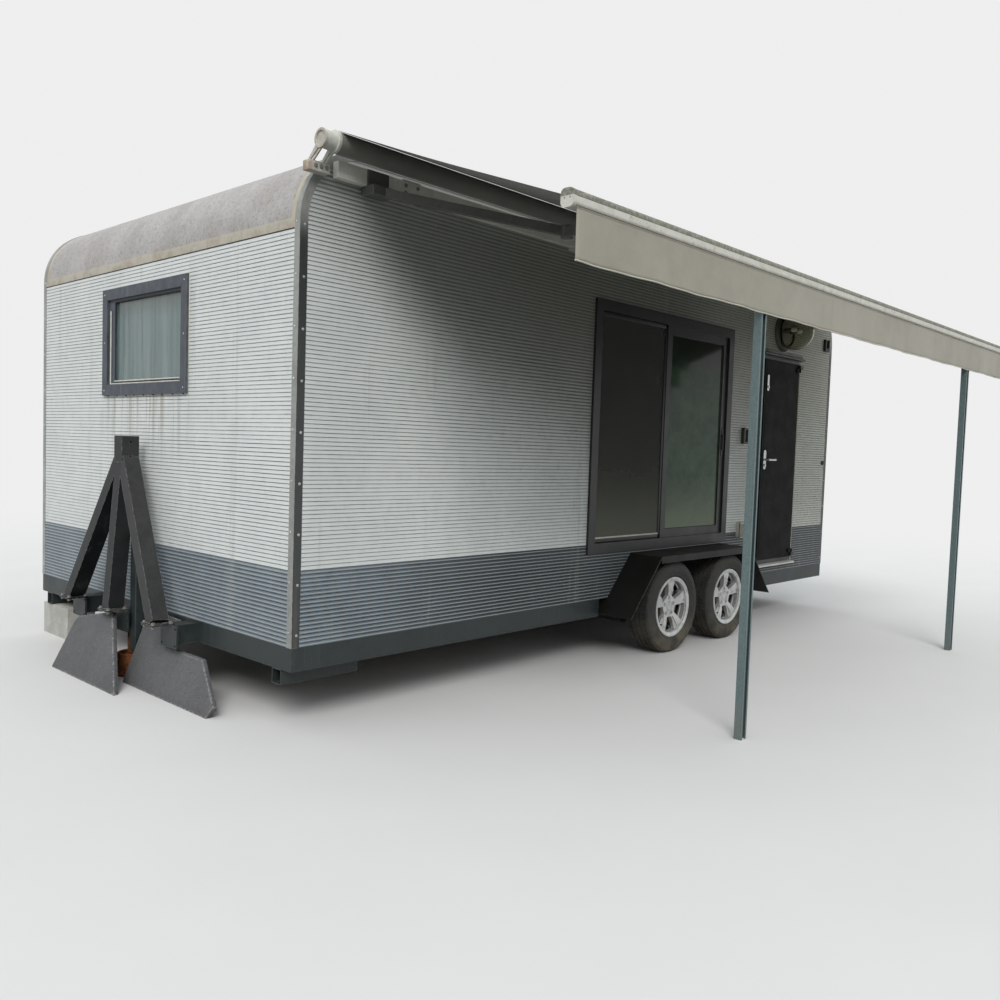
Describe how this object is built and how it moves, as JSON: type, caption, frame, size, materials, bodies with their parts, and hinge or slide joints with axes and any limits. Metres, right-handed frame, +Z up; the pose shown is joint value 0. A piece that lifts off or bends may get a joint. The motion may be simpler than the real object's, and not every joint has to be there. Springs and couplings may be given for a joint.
{
  "type": "travel caravan",
  "caption": "Box-bodied travel caravan on tandem wheels with a side door, patio window, posted awning and a bolted drawbar stood upright.",
  "frame": {"origin": "on the ground at the centre of the footprint's box, awning and drawbar included", "axes": "+X forward towards the drawbar end, +Y to the left, the door and awning side, +Z up"},
  "size_m": [6.183, 4.785, 2.802],
  "materials": {
    "siding": "embossed steel siding, pale grey above and blue grey below",
    "roof_sheet": "weathered pale grey sheet",
    "bright_trim": "mill aluminium angle, dull",
    "black_steel": "black paint over steel, dusty and scuffed",
    "floor_board": "boarded floor",
    "black_frame": "black powder coat",
    "window_glass": "tinted window glass",
    "bright_steel": "brushed",
    "lamp_body": "black",
    "lamp_glass": "smoked globe",
    "fitting_plastic": "off white",
    "tyre_rubber": "dusty black rubber",
    "alloy": "silver painted alloy",
    "awning_metal": "off white coat, weathered",
    "awning_roll": "rolled awning cloth in shade",
    "awning_fabric": "warm grey woven acrylic",
    "post_steel": "galvanised",
    "board": "dark grey rubberised board, worn at its edges",
    "rusty_iron": "rusty",
    "concrete": "rough concrete"
  },
  "bodies": {
    "caravan": {"awning_arms": "awning_metal", "awning_back_bar": "awning_metal", "awning_brackets": "awning_metal", "awning_cloth": "awning_fabric", "awning_lead_rail": "awning_metal", "awning_posts": "post_steel", "awning_roller": "awning_roll", "awning_valance": "awning_fabric", "axle_front": "black_steel", "axle_rear": "black_steel", "chassis_cross_members": "black_steel", "chassis_main_beams": "black_steel", "chassis_side_rails": "black_steel", "corner_leg_sockets": "black_steel", "door_frame": "black_frame", "door_rain_cap": "black_frame", "door_sill": "bright_steel", "drawbar": "black_steel", "drawbar_stubs": "black_steel", "edge_trims": "bright_trim", "fenders": "black_steel", "floor_panel": "floor_board", "front_jack": "rusty_iron", "front_wall": "siding", "front_window_frame": "black_frame", "front_window_glass": "window_glass", "jack_post": "black_steel", "left_wall": "siding", "patio_glass": "window_glass", "patio_sashes": "black_frame", "patio_window_frame": "black_frame", "porch_lamp_base": "lamp_body", "porch_lamp_globe": "lamp_glass", "rear_wall": "siding", "right_wall": "siding", "roof_front_curve": "roof_sheet", "roof_panel": "roof_sheet", "roof_rear_curve": "roof_sheet", "skirt_boards": "board", "support_block_lower": "concrete", "support_block_upper": "concrete", "wall_fittings": "fitting_plastic"},
    "door": {"door_leaf": "black_frame", "door_handle": "bright_steel"},
    "wheel_front_left": {"tyre_front_left": "tyre_rubber", "rim_front_left": "alloy", "hub_front_left": "rusty_iron"},
    "wheel_front_right": {"tyre_front_right": "tyre_rubber", "rim_front_right": "alloy", "hub_front_right": "rusty_iron"},
    "wheel_rear_left": {"tyre_rear_left": "tyre_rubber", "rim_rear_left": "alloy", "hub_rear_left": "rusty_iron"},
    "wheel_rear_right": {"tyre_rear_right": "tyre_rubber", "rim_rear_right": "alloy", "hub_rear_right": "rusty_iron"}
  },
  "joints": [
    {"name": "door_hinge", "type": "hinge", "parent": "caravan", "child": "door", "pos_m": [-2.4005, 0.8915, 1.3], "axis": [0, 0, 1], "range_deg": [0, 110]},
    {"name": "wheel_front_left_spin", "type": "hinge", "parent": "caravan", "child": "wheel_front_left", "pos_m": [-0.2335, 0.985, 0.3175], "axis": [0, 1, 0], "continuous": true},
    {"name": "wheel_front_right_spin", "type": "hinge", "parent": "caravan", "child": "wheel_front_right", "pos_m": [-0.2335, -2.26, 0.3175], "axis": [0, 1, 0], "continuous": true},
    {"name": "wheel_rear_left_spin", "type": "hinge", "parent": "caravan", "child": "wheel_rear_left", "pos_m": [-0.9935, 0.985, 0.3175], "axis": [0, 1, 0], "continuous": true},
    {"name": "wheel_rear_right_spin", "type": "hinge", "parent": "caravan", "child": "wheel_rear_right", "pos_m": [-0.9935, -2.26, 0.3175], "axis": [0, 1, 0], "continuous": true}
  ]
}
